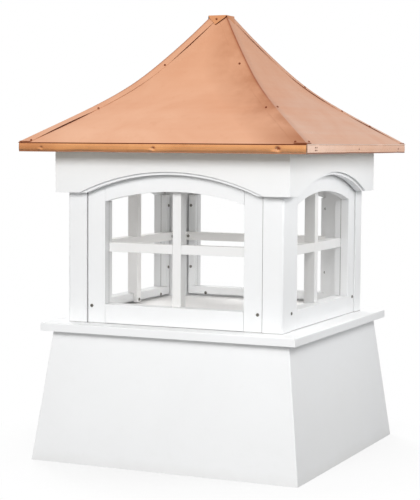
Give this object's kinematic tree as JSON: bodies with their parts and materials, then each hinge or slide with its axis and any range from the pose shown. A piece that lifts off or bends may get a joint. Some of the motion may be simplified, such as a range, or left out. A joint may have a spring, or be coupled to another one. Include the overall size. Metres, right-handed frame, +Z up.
{
  "type": "barn cupola",
  "caption": "Square open-windowed white cupola with battered base, arched window frames, frieze and a concave copper roof with hip strips.",
  "frame": {"origin": "middle of the open foot, on the plane that the base rests on", "axes": "+Z up the middle of the cupola, the front side faces -Y"},
  "size_m": [0.702, 0.702, 1.0365],
  "materials": {
    "vinyl_base": "smooth white cellular vinyl board, satin",
    "vinyl_trim": "smooth white cellular vinyl board, satin, eased edges",
    "copper_roof": "bright mill-finish copper sheet, lightly brushed",
    "copper_trim": "bright mill-finish copper sheet, folded",
    "roof_board": "painted plywood soffit"
  },
  "bodies": {
    "root": {"base_panel_front": "vinyl_base", "base_panel_right": "vinyl_base", "base_panel_back": "vinyl_base", "base_panel_left": "vinyl_base", "base_cap_front": "vinyl_trim", "base_cap_right": "vinyl_trim", "base_cap_back": "vinyl_trim", "base_cap_left": "vinyl_trim", "window_stiles_front": "vinyl_trim", "window_stiles_right": "vinyl_trim", "window_stiles_back": "vinyl_trim", "window_stiles_left": "vinyl_trim", "window_rail_front": "vinyl_trim", "window_rail_right": "vinyl_trim", "window_rail_back": "vinyl_trim", "window_rail_left": "vinyl_trim", "window_head_front": "vinyl_trim", "window_head_right": "vinyl_trim", "window_head_back": "vinyl_trim", "window_head_left": "vinyl_trim", "window_stops_front": "vinyl_trim", "window_stops_right": "vinyl_trim", "window_stops_back": "vinyl_trim", "window_stops_left": "vinyl_trim", "frieze_front": "vinyl_trim", "frieze_right": "vinyl_trim", "frieze_back": "vinyl_trim", "frieze_left": "vinyl_trim", "roof_panel_front": "copper_roof", "roof_panel_right": "copper_roof", "roof_panel_back": "copper_roof", "roof_panel_left": "copper_roof", "corner_post_front_left": "vinyl_trim", "hip_strip_front_left": "copper_trim", "corner_post_front_right": "vinyl_trim", "hip_strip_front_right": "copper_trim", "corner_post_back_right": "vinyl_trim", "hip_strip_back_right": "copper_trim", "corner_post_back_left": "vinyl_trim", "hip_strip_back_left": "copper_trim", "floor_deck": "vinyl_base", "arch_strips": "vinyl_trim", "roof_core": "roof_board", "roof_fascia": "copper_trim", "roof_cap": "copper_trim"}
  },
  "joints": []
}
